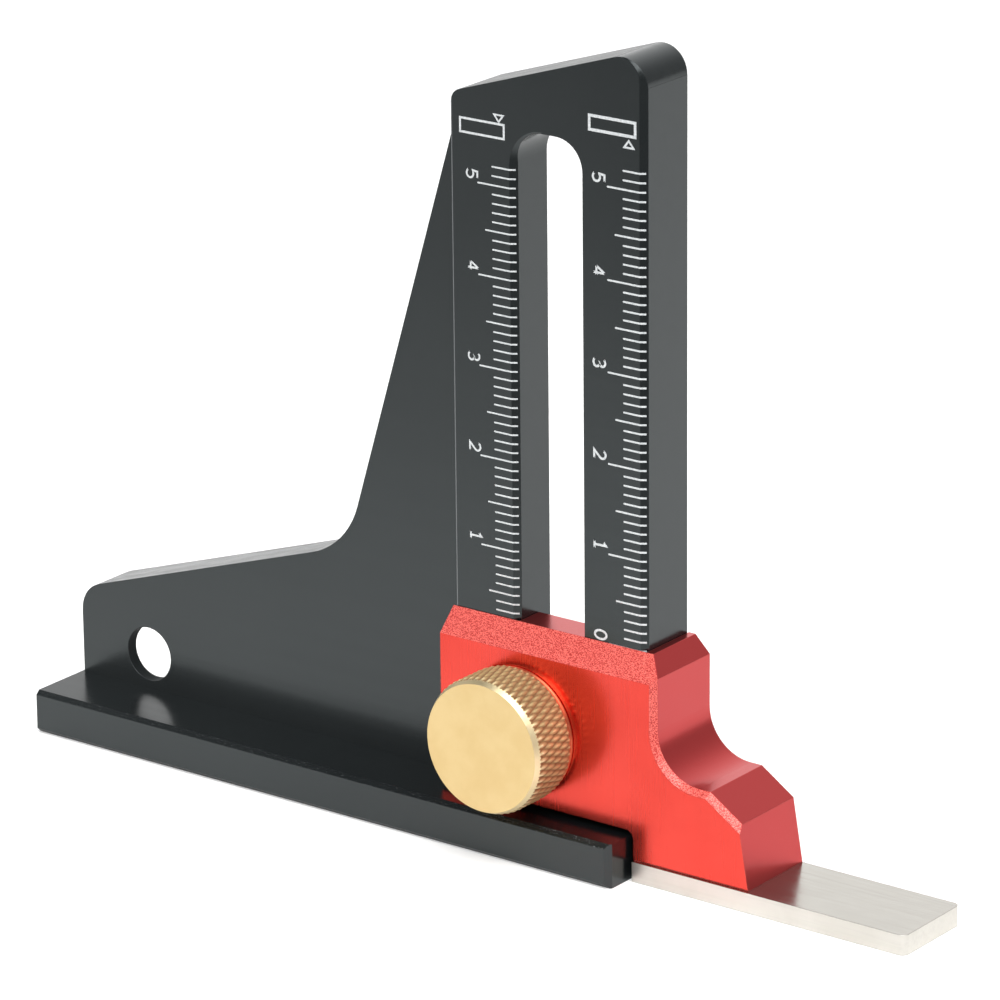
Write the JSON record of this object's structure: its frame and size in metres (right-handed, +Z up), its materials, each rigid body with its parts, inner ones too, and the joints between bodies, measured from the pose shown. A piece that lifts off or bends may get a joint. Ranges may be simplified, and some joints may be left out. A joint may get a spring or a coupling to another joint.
{
  "type": "marking gauge",
  "caption": "Free-standing marking gauge: L-shaped body with two millimetre scales, sliding block carrying a flat bar, locked by a knurled knob.",
  "frame": {"origin": "on the underside of the foot, below the middle of the column, in the plane of the reading face", "axes": "+X along the foot towards the steel bar, +Y from the reading face to the back, +Z up the column"},
  "size_m": [0.115, 0.0171, 0.0889],
  "materials": {
    "black_anodised": "black anodised, satin",
    "red_anodised": "red anodised, fine bead-blasted",
    "bar_steel": "stainless, fine ground",
    "brass": "turned and knurled",
    "fixing_steel": "plain steel"
  },
  "bodies": {
    "base": {"gauge_body": "black_anodised"},
    "slider": {"slider_block": "red_anodised", "gauge_bar": "bar_steel", "bar_screws": "fixing_steel"},
    "knob": {"lock_knob": "brass", "knob_stud": "fixing_steel"},
    "clamp": {"clamp_plate": "fixing_steel"}
  },
  "joints": [
    {"name": "slider_travel", "type": "slide", "parent": "base", "child": "slider", "axis": [0, 0, 1], "range_m": [0, 0.05]},
    {"name": "knob_turn", "type": "hinge", "parent": "slider", "child": "knob", "pos_m": [-0.00235, -0.0026, 0.01375], "axis": [0, -1, 0], "range_deg": [0, 270]},
    {"name": "clamp_release", "type": "slide", "parent": "slider", "child": "clamp", "axis": [0, 1, 0], "range_m": [0, 0.000375]}
  ],
  "couplings": [
    {"joint": "knob_turn", "follows": "clamp_release", "rad_per_m": 12566}
  ]
}
